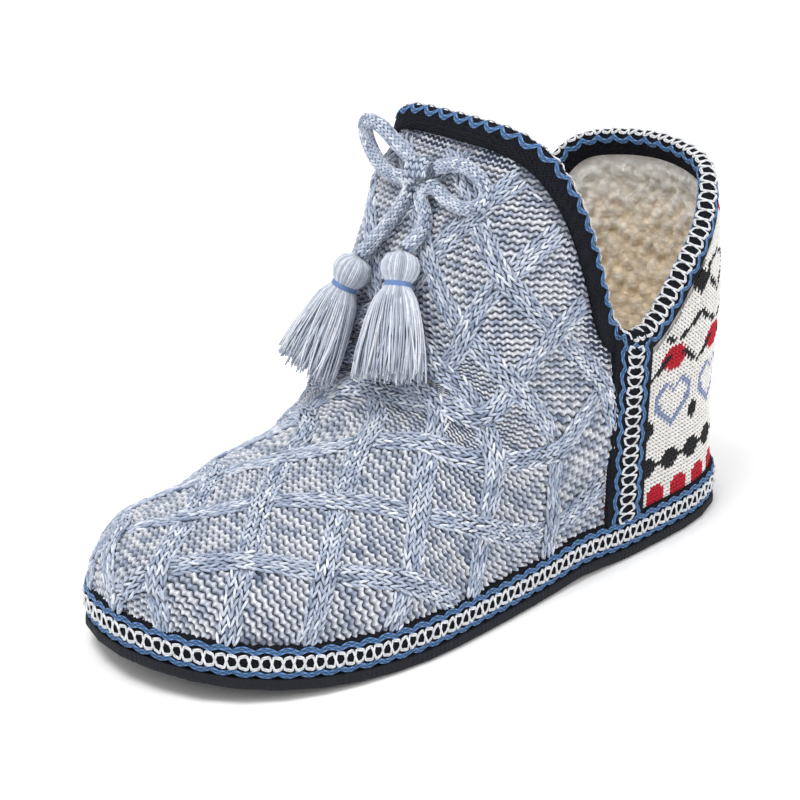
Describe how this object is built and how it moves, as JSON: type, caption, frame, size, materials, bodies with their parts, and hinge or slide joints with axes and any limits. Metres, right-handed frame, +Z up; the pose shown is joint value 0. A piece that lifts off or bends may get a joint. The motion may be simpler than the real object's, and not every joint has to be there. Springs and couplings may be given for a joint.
{
  "type": "bootie slipper",
  "caption": "Low knitted bootie slipper with a high front flap, ribbon-bound collar, side seam tapes, flat sole and a tasselled cord bow.",
  "frame": {"origin": "on the floor under the outsole, half way along its length and on the middle line", "axes": "+X to the toe, +Y to the wearer's left, which is the outer side, +Z up"},
  "size_m": [0.2616, 0.1116, 0.1585],
  "materials": {
    "outsole": "matt black flexible sole",
    "ribbon": "woven black ribbon with white and blue chain",
    "fleece": "cream fleece pile",
    "knit": "heather blue knit with raised lattice, patterned knit at the heel",
    "cord": "knitted tube cord",
    "yarn": "loose yarn strands"
  },
  "bodies": {
    "root": {"outsole": "outsole", "sole_band": "ribbon", "insole": "fleece", "upper": "knit", "side_tape_left": "ribbon", "side_tape_right": "ribbon", "collar_binding": "ribbon", "bow_knot": "cord", "bow_loop_left": "cord", "bow_loop_right": "cord", "cord_end_left": "cord", "cord_end_right": "cord", "tassel_left": "yarn", "tassel_right": "yarn"}
  },
  "joints": []
}
